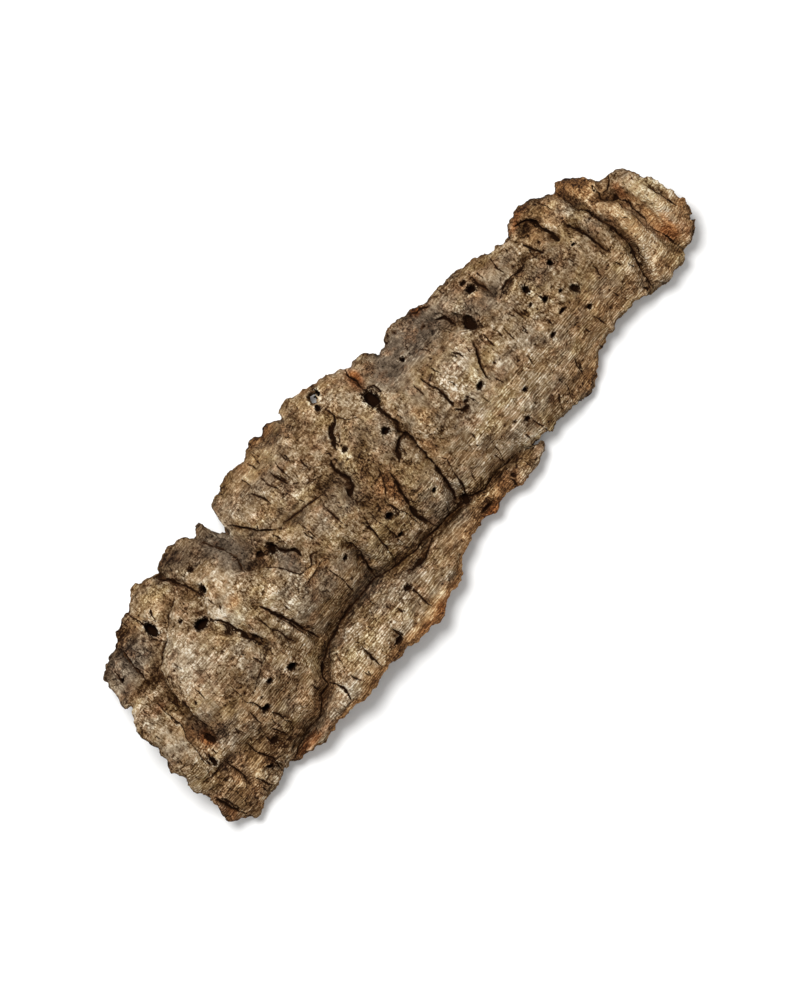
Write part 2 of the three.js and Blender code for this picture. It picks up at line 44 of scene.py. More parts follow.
# Plan places are millimetres from the middle of the slab, along the grain and then across it, as the eye
# below sees them on a level 20 mm up.
mmPerMetre = 1000
eye = (0.0, -157.0, 1512.0)
slab = {
    "readLevel": 20.0,
    "weld": 2e-6,  # metres between points of the CAD mesh that are one
    "barkCuts": 3,
    "bellyCuts": 1,
    "crackCuts": 1,  # once more beside cracks and holes
    "deepCrack": 1.0,  # the depth from which cracks are cut finer
    "smoothing": 2,
    "evening": 24,  # rounds that turn the CAD grooves into shallow valleys
    "leastWall": 1.8,  # cork left under the deepest hole
    "cracks": [  # half width, depth, rise of the left side, line
        (0.5, 1.4, 0, [(57, -48), (50, -45.5), (40, -43), (30, -41), (18, -42), (10, -38.5), (0, -37.5),
                         (-10, -36.5), (-20, -35), (-30, -35), (-45, -31.5), (-55, -27.5), (-75, -28),
                         (-95, -31), (-105, -35.5), (-110, -41), (-111, -45), (-118, -47), (-125, -51.5),
                         (-140, -53), (-152, -56)]),
        (0.3, 0.8, -1.6, [(-178, 24), (-177, 8), (-177, 0), (-181, -6), (-183, -14), (-184, -26)]),
        (0.42, 1.9, 2, [(-166, 20), (-168, 8), (-169, 0), (-169, -11)]),
        (0.45, 1.6, -1.2, [(-167, 18), (-163, 27), (-155, 33), (-150, 35), (-140, 42), (-127, 47)]),
        (0.5, 1.8, 0.4, [(-168, 49), (-170, 40), (-171, 31)]),
        (0.56, 1.9, 0, [(-194, -39), (-193, -48), (-190, -56)]),
        (0.35, 1.2, 0, [(-192, -41), (-190.5, -50), (-189, -55)]),
        (0.4, 1.4, 1, [(-192, -28), (-184, -30), (-180, -29.5), (-172, -30)]),
        (0.35, 1.4, 0, [(-177, -31), (-176, -40), (-177, -47)]),
        (0.4, 1.4, 0.4, [(-163, -33), (-161, -40), (-159, -48), (-160, -53)]),
        (0.4, 1.4, 0.4, [(-142, -30), (-140, -36), (-139, -44)]),
        (0.4, 1.4, 0, [(-148, -37), (-146, -43), (-145, -50)]), (0.35, 1.2, 0, [(-173, -47), (-170, -56)]),
        (0.3, 1, 0, [(-150, -24), (-150, -33)]),
        (0.3, 1, 0, [(-146, -9), (-146, -18), (-144, -22), (-143.5, -27)]),
        (0.45, 1.6, -1, [(-127, 25), (-124, 19), (-122, 13), (-121, 5), (-119, -1), (-118, -9)]),
        (0.63, 1.7, 0, [(-127, 59), (-124, 55), (-122, 49)]),
        (0.5, 1, 0, [(-122, 49), (-121, 40), (-119, 29)]),
        (0.35, 1.2, 0, [(-110, 4), (-108, -5), (-106, -18)]),
        (0.5, 1.8, 0.6, [(-104, 9), (-101, 0), (-99.5, -7), (-98, -14), (-96.5, -26)]),
        (0.3, 1.2, 0, [(-101, -4), (-99.8, -14), (-98.6, -24)]),
        (0.4, 1, -1.2, [(-97, 54), (-93, 42), (-92, 34), (-95, 28)]),
        (0.4, 0.8, -1.8, [(-95, 27), (-91, 23), (-86, 19), (-82, 13), (-79, 7), (-77, 3)]),
        (0.5, 1.6, 1.5, [(-81, 48), (-77, 40), (-73, 33), (-68, 28)]),
        (0.7, 2.8, 0, [(-79, 25), (-75, 23), (-73, 18), (-70, 14), (-70, 9)]),
        (0.3, 1, -0.8, [(-78, 3), (-70, 2), (-66, 5), (-62, 4)]),
        (0.45, 0.8, 0, [(-64, 28), (-56, 25), (-50, 24), (-43, 22), (-36, 21)]),
        (0.55, 2, 0.6, [(-49, -5), (-49, -13), (-51, -20), (-54, -27)]),
        (0.35, 1.2, 0, [(-66, -5), (-66, -13), (-65, -18), (-67, -25)]),
        (0.4, 1.6, 0.4, [(-34, -3), (-36, -15), (-38, -24), (-40, -30)]),
        (0.75, 2.8, 0, [(-22, 29), (-24, 23), (-24, 17), (-26, 13), (-30, 9)]),
        (0.35, 1.2, 0, [(-30, 9), (-30.5, 2)]),
        (0.7, 2.4, 0, [(-16, 31), (-12, 37), (-9, 40.5), (-5, 41), (-3, 43), (-3, 47)]),
        (0.35, 1, 0, [(-3, 42), (0, 37), (4, 33)]), (0.3, 1, 0, [(-51, 62), (-50, 56)]),
        (0.45, 1.2, 0, [(-62, 50), (-60, 44), (-60, 40)]), (0.42, 0.9, 0, [(-47, 50), (-47, 44), (-46, 39)]),
        (0.35, 1, 0, [(-42, 51), (-43, 40)]), (0.35, 1, 0, [(-36, 53), (-37, 47)]),
        (0.3, 1, 0, [(-32, 42), (-33, 35)]),
        (0.7, 2.2, 0.5, [(-8, -1), (-11, -10), (-13, -18), (-15, -25), (-14, -31)]),
        (0.63, 1.5, 0, [(18, 54), (18, 46), (17, 40)]),
        (0.62, 2.6, 0.8, [(16, 29), (15, 20), (14, 12), (13.5, 4), (12.5, -6), (11, -15), (9.5, -21),
                          (7, -28), (5, -35)]), (0.7, 1.8, 0, [(14, 9), (10, 9), (5, 6), (1, 1)]),
        (0.45, 1.4, 0, [(20, 39), (22.5, 37), (23, 32)]),
        (0.45, 1.5, 0, [(17, -17), (14, -26), (11, -34), (8, -40)]),
        (0.3, 1, 0.4, [(40, -29), (38, -36), (35, -41)]),
        (0.5, 1.8, 0.3, [(41, 21), (42, 11), (41, 2), (41, -4), (42, -7)]),
        (0.5, 1.8, 0.3, [(73, 12), (69, 5), (66, -1), (64, -7)]), (0.35, 1.2, 0, [(48, 21), (50, 14)]),
        (0.55, 1.8, 0, [(69, 35), (73, 32), (74, 25)]), (0.35, 1, 0, [(80, 10), (78, 2)]),
        (0.35, 1, 0.4, [(98, 34), (99, 26), (99, 19)]),
        (0.4, 1.4, 1.2, [(99, 16), (104, 18.5), (113, 19), (126, 19)]),
        (0.5, 1.6, 0, [(129, 25), (130, 19), (132, 14)]),
        (0.55, 2.4, 0, [(133, 34), (139, 32), (142, 28), (141.5, 21), (142, 13)]),
        (0.35, 1.2, 0, [(150, 33), (152, 28), (152, 24)]),
        (0.5, 1.8, 0.3, [(151, 13), (153, 7), (154, 1), (154, -10)]),
        (0.35, 1.2, -0.8, [(160, 31), (161, 15), (163, 10), (164.5, 3), (165, -5), (164.5, -15), (163, -22),
                           (159, -28), (156, -35), (153.5, -41)]),
        (0.3, 1, -0.6, [(168, 12), (174, 7), (179, 3), (180.5, 0), (180, -8)]),
        (0.3, 0.8, -0.8, [(180, -8), (179.5, -20), (179, -37)]),
        (0.4, 1.2, 0, [(176, 9), (181, 11), (185, 13)]), (0.35, 1.2, 0, [(194, -7), (194, -24)]),
        (0.5, 1.6, 0, [(-110, -44), (-109, -52), (-110, -60)]),
        (0.35, 1.2, 0, [(-85.5, -41), (-86, -48), (-86.5, -60)]),
        (0.63, 2, 0, [(-77, -57), (-72, -58), (-68, -57.5), (-68, -52)]),
        (0.35, 1, 0, [(-46, -46), (-46, -60)]),
        (0.5, 1.4, 0, [(-40, -38), (-34, -41), (-26, -40), (-18, -37)]),
        (0.3, 0.8, 0, [(-58, 22), (-57, 15), (-58, 9)]), (0.35, 1, 0.3, [(-42, 18), (-43, 8), (-42, 0)]),
        (0.35, 1, 0.3, [(-30, -4), (-30, -16), (-31, -28)]),
        (0.3, 1, 0, [(-20, -6), (-18, -18), (-17, -28)]),
        (0.35, 0.8, 0, [(-52, 51), (-53, 46), (-51, 41)]),
        (0.3, 0.8, 0.8, [(-80, -3), (-70, -1.5), (-63, -1), (-61, -5)]),
        (0.3, 0.8, 0, [(-117, -9), (-128, -13), (-142, -19)]), (0.3, 0.8, 0, [(66, -8), (67, -14)]),
        (0.3, 0.8, 0, [(96, 9), (97, 3)]), (0.3, 0.8, 0, [(100, 8), (99, 1)]),
        (0.3, 0.8, 0, [(88, 4), (87, -4)]), (0.3, 0.8, 0, [(123, -27), (124, -35)]),
        (0.3, 0.8, 0, [(139, -24), (140, -31)]), (0.3, 0.8, 0, [(100, -38), (96, -45)]),
        (0.3, 0.8, 0, [(87, -37), (84, -45)]), (0.35, 1, 0, [(62, 47), (68, 44), (72, 40)]),
        (0.3, 0.8, 0, [(-152, 60), (-150, 52), (-150, 48)]), (0.3, 0.8, 0, [(-10, 8), (-12, 1), (-18, -6)]),
        (0.3, 0.8, 0, [(-6, 3), (-9, -3), (-16, -10)]), (0.3, 0.8, 0, [(112, 34), (110, 28), (111, 22)]),
    ],
    # the ends are thinner and shallower; walls are in half widths, the rest in millimetres
    "crackShape": {"margin": 14, "thinEnds": 0.65, "shallowEnds": 0.6, "walls": (1.6, 0.2),
                   "riseReach": 5.0, "beside": (1.6, 0.8), "widths": (0.3, 1.8)},
    "folds": [  # half width, height (a valley where it is below 0), line
        (4, -1.6, [(-171, 26), (-171, 10), (-172, -5), (-172, -18)]),
        (7, 1, [(-186, 22), (-187, 5), (-189, -12), (-188, -25)]),
        (6, 1.2, [(-159, 22), (-160, 5), (-159, -8)]), (3, -1, [(-169, 50), (-170, 40), (-171, 30)]),
        (3, -1.4, [(-186, 27), (-175, 28), (-167, 26)]),
        (2.5, -1, [(-193, -29), (-180, -30), (-167, -31)]), (4, 1.4, [(-178, -25), (-176, -25)]),
        (5, 1.6, [(-167, -26), (-163, -25)]), (2, -0.7, [(-176, -31), (-177, -47)]),
        (2, -0.8, [(-162, -33), (-160, -53)]), (2, -0.7, [(-147, -37), (-145, -50)]),
        (2, -0.7, [(-141, -30), (-139, -44)]), (4, -1.2, [(-128, 26), (-122, 12), (-118, -8)]),
        (4, -1.2, [(-126, 58), (-121, 42), (-119, 28)]), (3, -0.8, [(-104, 9), (-99.5, -7), (-96.5, -26)]),
        (7, -1.6, [(-93, 52), (-88, 40), (-83, 28), (-76, 16)]), (8, 1, [(-106, 14), (-95, 5), (-88, -8)]),
        (3, -0.9, [(-49, -5), (-54, -27)]), (6, -1.2, [(-36, 22), (-27, 20), (-26, 8), (-24, -5)]),
        (3, -0.9, [(16, 29), (13.5, 4), (9.5, -21), (5, -35)]),
        (3, -0.9, [(-8, -1), (-13, -18), (-14, -31)]), (3.5, -0.9, [(14, 9), (1, 1)]),
        (5, -1.2, [(79, 24), (80, 16)]), (2.5, -0.8, [(99, 16), (113, 19), (126, 19)]),
        (2, -0.7, [(98, 34), (99, 20)]), (3, -0.6, [(135, 34), (141, 28), (142, 14)]),
        (3, 1, [(132, 37), (145, 37), (157, 34)]), (2.5, -0.8, [(151, 13), (154, 1), (154, -10)]),
        (5, 0.8, [(171, 10), (172, -10), (169, -32)]),
        (3, -0.5, [(160, 31), (161, 15), (164.5, 3), (164.5, -15), (159, -28), (153.5, -41)]),
        (3, -1, [(172, 9), (180.5, 0), (180, -20), (180, -38)]),
        (5, 0.8, [(191, 8), (192, -12), (190, -32)]), (6, 0.8, [(-76, 50), (-68, 36)]),
        (5, 0.8, [(-16, 20), (-2, 32), (6, 38)]), (4, -0.8, [(-45, -38), (-18, -38)]),
    ],
    "holes": [  # middle, half length along and across, depth
        (-180, 39.5, 0.9, 0.9, 5), (-149.5, 45, 1.4, 3.4, 6), (-137, 35.5, 1.2, 1, 3),
        (-131, 26.5, 2.8, 2.4, 7), (-141.8, -28.5, 2.5, 1.5, 6), (-130, -20.8, 1.5, 1, 4),
        (-152, -42, 2.4, 2, 2), (-124, 13, 1.4, 2.2, 1.2), (-164, -51, 2.6, 1.4, 3),
        (-181, -24.5, 1.3, 2.2, 4), (-117, 37.8, 1.9, 1.9, 8), (-112.5, 49, 1.6, 1.5, 3),
        (-118, 0, 1.3, 2.8, 2), (-117, -24.3, 2.3, 1.5, 6), (-77.5, 24, 2.6, 2, 7),
        (-173, -16, 1.6, 3.2, 2.5), (-25, -12.8, 2, 1.3, 6), (-28, -24, 1.9, 1.1, 5),
        (1, -22.7, 1.2, 0.8, 4), (8.5, 17.5, 1.8, 1.8, 5), (42.3, 35, 1, 1, 5),
        (43.5, -7.5, 2.4, 1.3, 1.8), (47, -5, 2, 1.2, 1.5), (58, -5.5, 2, 1.2, 4),
        (79.5, 20, 2.4, 3.4, 3), (93.5, 31, 2.5, 1.8, 6), (93, 36, 2, 1, 3), (111, 8.5, 1.7, 2.4, 6),
        (114.5, -3, 1.6, 1.5, 6), (130.3, 7.5, 1.3, 1.5, 6), (145.3, 5, 1.2, 0.8, 4),
        (122, -5.5, 0.9, 0.8, 4), (128.5, -11, 1.8, 2.2, 3), (115.5, -13.3, 2, 0.8, 3),
        (102.5, -17.8, 1.6, 1, 3), (126, -22.5, 1.4, 0.9, 3), (71.5, -25.5, 1.5, 1.2, 3),
        (-55.5, -10, 1.6, 0.9, 3), (-70, -58, 2, 1.6, 3), (-47, -44, 1.8, 1.6, 3),
        (12, -49, 4, 0.9, 1.6), (33, -49, 1.6, 1.4, 1.6), (16.5, 34, 2.7, 4.8, 4.5),
        (-34, -39.5, 5, 1.2, 2.5), (8, -38, 2.4, 2.2, 3), (0.6, 58, 1.4, 2.2, 5), (-5.5, 52, 1.2, 1.6, 4),
        (-13, 27, 1.6, 1.6, 2.5), (141, 28, 1.1, 2.6, 2.5), (107, 1.5, 1.6, 0.8, 2.5),
        (-83, 26, 1.4, 1, 3), (60, -36, 1.8, 1.4, 2.5),
    ],
    # walls and surroundings are in half lengths; shallow holes are paler, as deeper holes get more painted
    # black shade
    "holeShape": {"margin": 2, "ragged": 0.3, "walls": (1.25, 0.5), "beside": (2.2, 1.5),
                  "blackShare": 0.6, "shadeDepth": 8, "paleMost": 0.5},
    "seed": 7,
    # short splits across the grain
    "splits": {"count": 160, "along": (-192, 192), "across": (-58, 62), "half": (1.2, 4.0), "lean": 0.25,
               "bend": 0.4, "width": (0.2, 0.36), "depth": (0.4, 1.0), "rise": 0.3},
    "pinholes": {"count": 60, "along": (-190, 190), "across": (-58, 62), "size": (0.35, 0.75),
                 "stretch": (0.9, 1.7), "depth": 1.2},
    "lumps": {  # rise in millimetres, size along, across and up, seed
        "crackAlong": [(0.7, (6, 5, 8), 11), (0.3, (2, 2, 4), 12)],  # how the cracks wander
        "crackAcross": [(0.5, (6, 5, 8), 13), (0.3, (2, 2, 4), 15)],
        "crackWidth": [(0.8, (4.5, 4.5, 6), 14), (0.5, (1.8, 1.8, 3), 16)],  # as a share of the width
        "bark": [(0.5, (16, 12, 12), 1), (0.4, (5, 4, 4), 5), (0.2, (9, 2.2, 2.2), 2), (0.3, (2.0, 5, 5), 3),
                 (0.25, (1.6, 1.6, 1.6), 4)],
        "plates": [(2.2, (9, 12, 12), 6), (1.1, (4, 5, 5), 7)],  # in steps, one plate over another
        "pits": [(1.0, (3.0, 2.0, 2.0), 21)],
        "crumbs": [(0.6, (9, 9, 1.2), 31), (0.7, (2.2, 2.2, 2.2), 32)],
        "belly": [(0.35, (16, 4, 4), 41), (0.2, (3, 3, 3), 42)],
        "coarseChips": [(2.2, (7, 7, 30), 34)],  # in steps
        "fineChips": [(2.2, (2.6, 2.6, 30), 35)],
        "patchAlong": [(2.5, (7, 7, 9), 51)],  # how the edges of the patches wander
        "patchAcross": [(2.5, (7, 7, 9), 52)],
    },
    "plateStep": 0.5,
    "pitRange": (0.4, 0.75),
    "pitDepth": 0.6,
    "flap": {"left": (-140, -125), "right": (50, 35), "near": (-42, -48)},  # from 0 to 1 on the flap
    # how the rim is broken away under the bark; the hole behind the far rim is left as it is
    "chips": {"reach": 5.0, "full": 1.0, "coarse": 0.75, "fine": 0.4, "lip": 1.3, "lipFull": 1.5,
              "lipOffFlap": 0.7, "hole": (-3, 58), "clear": (4.0, 7.0)},
    "rimLightWidth": 4.0,  # painted light beside the rim, which the sloping rim misses
    "rimAmber": (0.15, 0.65),  # fresh cork on the broken rim, and more of it on the flap
    # how far points stand out from the bark round them, used only for painted shade in hollows and painted
    # highlight on ridges
    "paintedShadeReliefs": {"fineRelief": (6, 0.5), "midRelief": (60, 1.2), "broadRelief": (400, 3.0)},  # rounds, most
    "nearSlope": (-8, -20),  # from the crown to the slope whose layers show
    "steepSlope": (0.25, 0.6),
    "steepShare": 0.6,
    "dome": [(-145, 5, 20, 26, 0.6)],  # where the layers show on the crown too
    "patches": {  # middle, half length along and across, strength
        # light and dark patches, partly the bark's own tone and partly painted shade in valleys and folds
        "tone": [
            (-146, 44, 10, 12, 0.8), (-146, 28, 7, 14, 1), (-150, 12, 14, 16, 1.2),
            (-132, 10, 10, 10, 0.4), (-119, 16, 8, 10, 1.8), (-110, 32, 7, 6, 0.5), (-101, 40, 5, 5, -0.6),
            (-95, 4, 10, 12, 1), (-128, -4, 8, 8, 0.4), (-180, 8, 6, 12, 0.8), (-182, -16, 7, 8, 0.5),
            (-145, -24, 9, 6, 0.5), (-113, -36, 9, 8, 0.6), (-109, -54, 12, 9, 0.9), (-88, -50, 12, 9, 0.7),
            (-68, -43, 14, 6, -0.5), (-91, -60, 6, 4, 0.7), (-58, -55, 12, 9, 0.6), (-36, 34, 14, 8, 0.9),
            (-48, -2, 6, 6, 0.5), (-62, 59, 18, 5, 1.2), (-2, 58, 16, 6, 0.8), (16, 52, 5, 5, 0.8),
            (-88, 50, 5, 5, 0.6), (7, 36, 7, 10, 0.4), (-2, -22, 5, 8, 0.8), (53, 4, 12, 10, 1.3),
            (70, -8, 10, 6, 0.9), (63, -24, 9, 8, 0.9), (32, -6, 10, 5, -0.6), (110, 4, 6, 8, -0.4),
            (88, -50, 10, 3, -0.8), (49, -42, 9, 5, 0.9), (92, -8, 9, 12, 0.8), (83, -24, 9, 8, 0.6),
            (115, -38, 12, 5, 0.5), (46, 38, 22, 8, 0.6), (143, 19, 5, 6, 0.6), (183, -14, 5, 20, 0.9),
            (190, -10, 5, 14, 0.7), (198, -10, 3, 10, 1.2), (168, -27, 6, 8, 0.5), (150, -24, 7, 8, 0.4),
            (132, -22, 8, 6, 0.8), (112, -27, 7, 5, 0.6), (100, 28, 4, 8, 0.6), (-60, 45, 10, 7, 0.2),
            (-15, 23, 5, 5, 1), (-170, -24, 6, 6, 0.5), (20, 12, 6, 12, 0.4), (95, -46, 10, 5, 0.3),
            (-30, -43, 11, 5, -0.5), (-9, -20, 9, 8, -0.6), (80, 38, 8, 4, 0.3), (-70, -1, 9, 2.5, 0.7),
            (-166, 45, 9, 9, -1), (-166, 18, 5, 10, -1.2), (-166, -14, 6, 9, -1.4), (-196, 2, 5, 22, -1.8),
            (-198, -46, 6, 12, -0.9), (-152, -46, 12, 8, -1), (-172, -38, 7, 6, -0.8),
            (45, -27, 6, 5, -0.8), (-140, -12, 8, 6, -0.9), (-124, -28, 10, 6, -1), (-110, 3, 5, 6, -0.9),
            (-88, 28, 10, 10, -0.4), (-92, 44, 5, 7, -0.3), (-60, 5, 9, 7, -0.7), (-70, -16, 12, 6, -0.8),
            (-93, -18, 7, 6, -0.7), (-40, 4, 5, 8, -0.8), (-25, 2, 7, 12, -0.9), (-27, 55, 6, 8, -0.8),
            (-36, 67, 9, 3, -1), (-10, 12, 8, 12, -1.1), (-28, -10, 10, 12, -0.9), (-12, -14, 6, 8, -0.8),
            (-50, -16, 7, 7, -0.6), (-60, -31, 16, 5, -0.4), (-50, -45, 9, 6, -0.6), (-35, 19, 9, 5, -0.6),
            (-28, 24, 7, 6, -0.8), (-3, 27, 8, 7, -0.6), (0, -39, 7, 4, -0.8), (30, 45, 7, 6, -0.6),
            (70, 45, 9, 5, -1), (75, 28, 9, 6, -0.5), (45, -7, 5, 5, -0.6), (80, 12, 6, 5, -0.7),
            (35, -46, 9, 5, -0.9), (10, -50, 10, 4, -0.8), (78, -45, 9, 5, -0.6), (124, 10, 9, 7, -0.8),
            (133, 13, 6, 5, -0.5), (141, -19, 6, 5, -0.4), (125, -18, 8, 5, -0.4), (156, 5, 6, 8, -0.9),
            (150, 36, 9, 4, -1.2), (173, 27, 6, 8, -1.2), (136, 38, 8, 4, -0.7), (-117, 60, 9, 5, -1.2),
            (14, -24, 6, 9, -1.1), (-73, 14, 6, 8, -0.6), (-50, 24, 12, 3, -0.2), (88, 26, 12, 7, -0.3),
            (-73, -62, 8, 4, -0.9), (-20, -32, 24, 4, -0.6), (181, -22, 5, 18, 1.8), (198, -13, 3, 12, 1.2),
            (159, -30, 6, 10, 1), (108, -38, 12, 7, 0.6), (140, -38, 9, 4, 0.5), (108, -10, 9, 6, 0.4),
            (130, -9, 9, 6, 0.4), (87, -9, 5, 8, 0.6), (42, -17, 11, 6, 1.1), (60, -19, 7, 6, 0.5),
            (50, -42, 9, 4, 1.1), (67, -35, 9, 6, 0.9), (40, 14, 4, 8, 0.7), (68, 15, 8, 7, 0.7),
            (18, 52, 4, 6, 0.9), (24, 34, 7, 5, 0.5), (13, 0, 5, 10, 0.4), (-42, 59, 9, 5, 0.6),
            (-92, 51, 4, 4, 0.7), (-110, 38, 9, 5, 0.7), (-105, 27, 7, 6, 0.8), (-152, 16, 6, 5, 0.6),
            (-143, 42, 8, 6, 0.6), (-187, 35, 3, 9, 0.6), (-118, -7, 10, 5, 0.5), (-76, -19, 5, 8, 0.5),
            (-88, -33, 7, 5, 0.4), (-33, -25, 5, 6, 0.4), (-113, -56, 8, 8, 0.7), (-72, -49, 6, 5, 0.5),
            (-40, -64, 8, 4, 0.7), (-10, -48, 10, 5, 0.4), (-50, 2, 4, 8, 0.5), (-166, -22, 9, 6, -0.9),
            (-145, 4, 7, 8, -1.1), (-140, 22, 14, 4, -0.6), (-127, 8, 5, 6, -0.6), (-190, -22, 6, 5, -0.9),
            (-155, -50, 6, 8, -0.8), (-198, -48, 4, 10, -0.7), (-192, 10, 4, 10, -0.5),
            (-125, -28, 6, 12, -0.5), (-83, 3, 8, 5, -0.7), (-68, -3, 9, 5, -0.7), (-46, -17, 6, 6, -0.7),
            (-30, 28, 8, 7, -0.9), (-4, 26, 6, 6, -0.5), (2, 4, 5, 20, -0.6), (-22, 5, 6, 10, -0.6),
            (-20, -24, 5, 6, -0.5), (5, -40, 5, 4, -0.7), (22, -46, 8, 5, -0.7), (62, 4, 4, 5, -0.5),
            (85, 20, 6, 8, -0.4), (127, 6, 8, 6, -0.4), (159, -4, 6, 10, -0.9), (145, 32, 12, 6, -1.2),
            (172, 27, 7, 8, -1.2), (-33, 68, 9, 3, -1.1), (-92, 61, 4, 3, -1.1), (62, -26, 42, 18, 0.45),
            (30, -20, 8, 10, 0.4), (-45, -64, 28, 5, 1.1), (-12, 65, 10, 4, 1.2), (-140, 63, 10, 4, 0.7),
            (-112, 63, 9, 4, 0.7), (-93, 55, 5, 7, 0.6), (-163, 17, 5, 6, -0.7), (-20, 23, 5, 5, -0.7),
            (62, 29, 12, 5, -0.6), (180, -5, 4, 10, 0.7), (180, -32, 5, 6, 0.6), (135, 38, 6, 4, -0.9),
            (38, 40, 6, 6, -0.5), (-96, 1, 8, 6, 0.6), (-165, -48, 16, 7, 0.5), (-188, 12, 4, 9, -0.5),
            (45, -43, 9, 5, 0.5), (-10, -58, 14, 5, 0.7), (152, -30, 8, 10, 0.6), (182, -15, 5, 18, 0.5),
            (-88, -45, 9, 14, 0.5), (-33, -27, 8, 6, 0.6), (171, -5, 4, 12, -0.4), (-98, -50, 8, 6, -0.6),
            (70, -5, 6, 6, 0.6), (-155, 33, 9, 5, 0.5), (111, -28, 7, 8, 0.5), (-181, 12, 7, 7, 0.5),
            (10, 58, 12, 5, 0.5), (-54, 26, 5, 8, 0.5), (198, -10, 4, 8, 0.8), (176, -10, 12, 14, 0.35),
        ],
        "grey": [
            (-172, 42, 18, 11, 1.1), (-92, 42, 10, 18, 1.1), (-76, 14, 7, 10, 1), (50, 37, 30, 11, 1.3),
            (32, 18, 6, 12, 0.6), (90, 24, 18, 10, 0.7), (-112, 56, 14, 8, 0.6), (0, 25, 10, 10, 0.4),
            (-150, 15, 14, 14, 0.5), (-60, -30, 16, 5, 0.7), (-25, 60, 12, 8, 0.3), (60, 14, 14, 9, 0.5),
            (-30, 15, 12, 14, 0.4), (120, 8, 10, 8, 0.4), (-166, -20, 7, 7, 0.6), (-75, 55, 8, 8, 0.5),
        ],
        "amber": [
            (183, -18, 4, 22, 1), (166, -38, 12, 7, 0.6), (-34, 67, 8, 4, 1.3), (172, 0, 8, 30, 0.6),
            (168, 26, 10, 10, 1), (142, 26, 12, 12, 0.5), (-60, -64, 60, 5, 0.9), (-118, -45, 18, 10, 0.5),
            (-175, -45, 22, 14, 0.5), (97, -42, 14, 8, 0.5), (12, -50, 30, 6, 0.8), (-50, 60, 30, 8, 0.25),
            (0, 55, 20, 10, 0.15), (25, 8, 6, 10, 0.3), (130, -28, 30, 12, 0.35), (-110, 20, 5, 5, 0.6),
            (-140, 52, 10, 10, 0.2), (-70, -1, 9, 3, 0.8), (-15, -5, 6, 10, 0.7), (15, -5, 4, 12, 0.5),
            (-178, -8, 4, 14, 0.5), (-145, -26, 12, 8, 0.4), (-166, 55, 8, 6, 0.6), (196, -28, 6, 14, 0.7),
            (100, -48, 12, 5, 0.6), (95, 27, 7, 7, 0.4),
        ],
        "rust": [
            (-173, -15, 3, 6, 1), (182, -28, 5, 9, 0.7), (67, 45, 4, 3, 1), (18, 47, 3, 6, 1),
            (136, 36, 9, 3, 0.7), (13, -52, 8, 4, 0.8), (30, -49, 8, 5, 0.4), (-14, -2, 8, 10, 0.4),
            (187, -32, 6, 8, 0.5), (-140, -58, 12, 3, 0.8), (-180, 15, 7, 4, 0.4), (182, 3, 3, 5, 0.7),
            (-195, -48, 4, 9, 0.6), (-40, -66, 24, 4, 0.7), (92, 35, 5, 5, 0.3),
        ],
    },
}


def barkNoise(points, cell, seed):  # smooth lattice noise from -1 to 1; cell is along, across and up, in mm
    at = points / np.asarray(cell, float)
    base = np.floor(at).astype(np.int64)
    part = at - base
    part = part * part * (3 - 2 * part)
    total = np.zeros(len(points))
    for corner in range(8):
        step = np.array([corner & 1, corner >> 1 & 1, corner >> 2 & 1])
        cx, cy, cz = (base + step).T
        mixed = (cx * 73856093 ^ cy * 19349663 ^ cz * 83492791 ^ seed * 40503) & 0xFFFFFFFF
        mixed = (mixed ^ mixed >> 13) * 1274126177 & 0xFFFFFFFF
        value = ((mixed ^ mixed >> 16) & 0xFFFF) / 32767.5 - 1
        total += value * np.prod(np.where(step, part, 1 - part), axis=1)
    return total


def lumps(points, name):
    return sum(rise * barkNoise(points, size, seed) for rise, size, seed in slab["lumps"][name])


def planPlaces(points):  # where the eye sees each point on the level of the plan
    share = (eye[2] - slab["readLevel"]) / (eye[2] - points[:, 2])
    return eye[0] + (points[:, 0] - eye[0]) * share, eye[1] + (points[:, 1] - eye[1]) * share


def smoothStep(low, high, value):
    share = np.clip((value - low) / (high - low), 0, 1)
    return share * share * (3 - 2 * share)


def stepped(values):  # smooth values turned into terraces with steep fronts
    flatShare = 0.62
    return np.floor(values) + smoothStep(flatShare, 1.0, values - np.floor(values))


def nearestOnLine(x, y, line):  # distance, side (1 on the left) and share of the way along
    spans = [math.dist(start, end) for start, end in zip(line, line[1:])]
    distance, side, along = np.full(len(x), 1e9), np.ones(len(x)), np.zeros(len(x))
    gone = 0.0
    for (ax, ay), (bx, by), span in zip(line, line[1:], spans):
        share = np.clip(((x - ax) * (bx - ax) + (y - ay) * (by - ay)) / span ** 2, 0, 1)
        dx, dy = x - ax - share * (bx - ax), y - ay - share * (by - ay)
        here = np.hypot(dx, dy)
        nearer = here < distance
        distance = np.where(nearer, here, distance)
        side = np.where(nearer, np.where((bx - ax) * dy > (by - ay) * dx, 1.0, -1.0), side)
        along = np.where(nearer, (gone + share * span) / sum(spans), along)
        gone += span
    return distance, side, along


def patchStrength(x, y, patches):  # soft ellipses, full in the middle and gone half as far again outside
    total = np.zeros(len(x))
    for px, py, halfLong, halfWide, strength in patches:
        total += strength * smoothStep(1.5, 0.2, np.hypot((x - px) / halfLong, (y - py) / halfWide))
    return total


def smallSplits(draw):  # short splits across the grain, anywhere on the bark
    shape = slab["splits"]
    splits = []
    for _ in range(shape["count"]):
        x, y = draw.uniform(*shape["along"]), draw.uniform(*shape["across"])
        half = draw.uniform(*shape["half"])
        lean = draw.normal(0, shape["lean"])
        bend = draw.normal(0, shape["bend"])
        line = [(x - lean * half, y + half), (x + bend, y), (x + lean * half, y - half)]
        width, depth = draw.uniform(*shape["width"]), draw.uniform(*shape["depth"])
        splits.append((width, depth, draw.normal(0, shape["rise"]), line))
    return splits


def pinholes(draw):
    shape = slab["pinholes"]
    holes = []
    for _ in range(shape["count"]):
        size = draw.uniform(*shape["size"])
        x, y = draw.uniform(*shape["along"]), draw.uniform(*shape["across"])
        holes.append((x, y, size * draw.uniform(*shape["stretch"]), size, shape["depth"]))
    return holes


